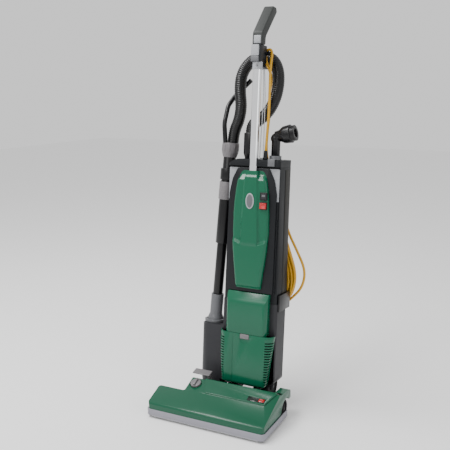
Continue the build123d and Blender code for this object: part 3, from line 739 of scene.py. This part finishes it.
def make_mast():
    finished("hook_bracket", 1.2, finish="housing_dark")
    finished("tube_fitting", 0.6)
    grip = copy_of("handle_grip")
    round_edges(grip, 6.5, 4, 30)
    settle(grip, "body", "black_plastic", "handle_grip", finish="grip_grey")
    for name, x, v, w, bevel, slot in (
            ("grip_inset", (-11, 11), (7.0, 12), (1087.5, 1111), 2.0, "light_grey"),
            ("bracket_face", (-15.3, 9.5), (-0.2, 4.5), (1053, 1084.5), 2.2, "light_grey"),
            ("bracket_foot", (-15.3, 9.5), (0.6, 4.5), (1037, 1052.6), 1.6, "mid_grey"),
            # The black block on the tube fitting is painted shade standing in for the notch's
            # hollow
            ("tube_notch_shade", (-3.5, 2.5), (4.6, 6.4), (1027, 1036), 0.8, "black_plastic")):
        settle(block(name, x, v, w, BODY, bevel), "body", slot)


# ---- wand, tool, hose and cord -------------------------------------------------------------
LOCK_RIBS = 4
COLLAR_FLUTES = 10


def make_wand():
    for node, width, finish in (
            ("wand_upper_tube", 0.8, None), ("dusting_tool", 0.8, None), ("plug", 1.2, None),
            ("wand_lower_tube", 0.3, "black_plastic"), ("wand_grip", 0.8, "black_plastic"),
            ("wand_elbow", 0.8, "mid_grey"), ("wand_sleeve", 0.8, "black_plastic"),
            ("wand_collar", 1.2, "knob_grey"), ("slide_lock", 1.2, "knob_grey")):
        finished(node, width, finish=finish)
    for i in range(LOCK_RIBS):
        z = 396 + i * 6
        band = disc("lock_rib_%d" % i, 24.5, z, z + 2.4, WAND, sides=56, bevel=0.6)
        cut(band, disc("bore", 23.2, z - 4, z + 8, WAND, sides=56, bevel=0))
        smooth(band)
        settle(band, "lock", "mid_grey", finish="knob_grey")
    for i in range(COLLAR_FLUTES):
        angle = 2 * math.pi * i / COLLAR_FLUTES
        spot = WAND @ Matrix.Rotation(angle, 4, "Z") @ Matrix.Translation((0.0252, 0, 0))
        flute = block("collar_flute_%d" % i, (-1.0, 1.0), (-2.2, 2.2), (533, 552), spot, 0.8, 2)
        settle(flute, "wand", "mid_grey", finish="knob_grey")


HOSE_ROUTE = [
    (-97, 76, 805.0), (-95, 76, 838), (-79, 76, 873), (-74, 78, 915), (-83, 82, 958),
    (-84, 88, 1004), (-66, 95, 1041), (-28, 100, 1066), (14, 97, 1054), (36, 90, 1020),
    (41, 83, 976), (34, 78, 934), (14, 74, 895), (-14, 70, 872), (-33, 68, 858), (-33, 68, 836),
]
CORD_ROUTE = [
    (25, 45, 786), (29.5, 45, 868), (29, 46, 960), (25.4, 52, 1028), (25, 66, 1077.5),
    (3, 66, 1077.5), (3, 67.5, 1043), (14, 98, 1002), (8, 120, 948), (-6, 128, 870),
    (-11, 129, 790), (0, 131, 738), (16, 134, 690),
]
TAIL_ROUTE = [(-8, 138, 470), (-26, 137, 492), (-45, 136, 488), (-52, 136, 463)]


HOSE_CREST = 18.0
HOSE_VALLEY = 17.0
HOSE_STEP = 1.35


def make_hose():
    """A crush-proof hose: a soft rib every few millimetres along its line."""
    line = even_line(spline_line(HOSE_ROUTE, BODY), HOSE_STEP * MM)
    rib = (HOSE_CREST, HOSE_CREST, HOSE_VALLEY, HOSE_VALLEY)
    radii = [rib[i % len(rib)] * MM for i in range(len(line))]
    shape = loft(tube_rings(line, radii, 28))
    hose = mesh_piece("ribbed_hose", shape, Matrix.Scale(1 / MM, 4))
    smooth(hose, 80)
    paint(hose, FINISH["hose_black"])
    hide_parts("hose")
    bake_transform(hose)


INNER_TURN = [(18, 655.5), (27, 640), (34, 590), (44, 520), (58, 455), (66, 395), (64, 345),
              (56, 323), (45, 321), (35, 327), (30, 360), (29, 410), (20, 490), (8, 590), (6, 640)]
OUTER_TURN = [(18, 683), (36, 670), (44, 610), (66, 540), (100, 482), (130, 425), (122, 372),
              (90, 335), (45, 293), (3, 318), (0, 360), (-1, 410), (-8, 485), (-22, 600),
              (-20, 655)]
RIGHT_SIDE = range(1, 8)
LAYERS = 3
TURNS_A_LAYER = 5
CORD_DIAMETER = 0.008


def winding_points():
    """Turns round the two hooks in three layers, with the last turn hanging loose."""
    points = []
    order = []
    for layer in range(LAYERS):
        steps = range(TURNS_A_LAYER)
        order += [(layer, step) for step in (steps if layer % 2 == 0 else reversed(steps))]
    for turn, (layer, step) in enumerate(order):
        share = step / (TURNS_A_LAYER - 1)
        last = turn == len(order) - 1
        kept = len(INNER_TURN) - 3 if last else len(INNER_TURN)
        for i, (inner, outer) in enumerate(zip(INNER_TURN[:kept], OUTER_TURN)):
            tight = i in RIGHT_SIDE and not last
            fan = 0.60 * share if tight else share
            sway = 0 if last else 2.0 * math.sin(2.1 * turn + 1.3 * i)
            x = inner[0] + (outer[0] - inner[0]) * fan + sway
            w = inner[1] + (outer[1] - inner[1]) * fan
            points.append((x, 128.4 + 9.4 * layer + 0.8 * math.sin(1.7 * turn + i), w))
    return points


def make_cord():
    route = CORD_ROUTE + winding_points() + TAIL_ROUTE
    cord = nurbs("mains_cord", route, BODY)
    cord.data.resolution_u = 6
    cord.data.bevel_depth = CORD_DIAMETER / 2
    cord.data.bevel_resolution = 3
    cord.data.use_fill_caps = True
    length = line_length(spline_line(route, BODY))
    paint(cord, FINISH["cord_yellow"])
    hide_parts("cord_run", "cord_winding")
    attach(cord, "body")


def paint_plain_nodes():
    for name, node in frame["nodes"].items():
        paint(node, FINISH[NODE_SLOT[name]])


make_camera()
make_studio()
MOULDED = moulded_group()
DRAWN = drawn_metal_group()
FINISH = make_finishes()
paint_plain_nodes()
make_head()
make_brush()
make_lower_body()
make_upper_cover()
make_badge()
make_switches()
make_housing()
make_mast()
make_wand()
make_hose()
make_cord()

deselect()
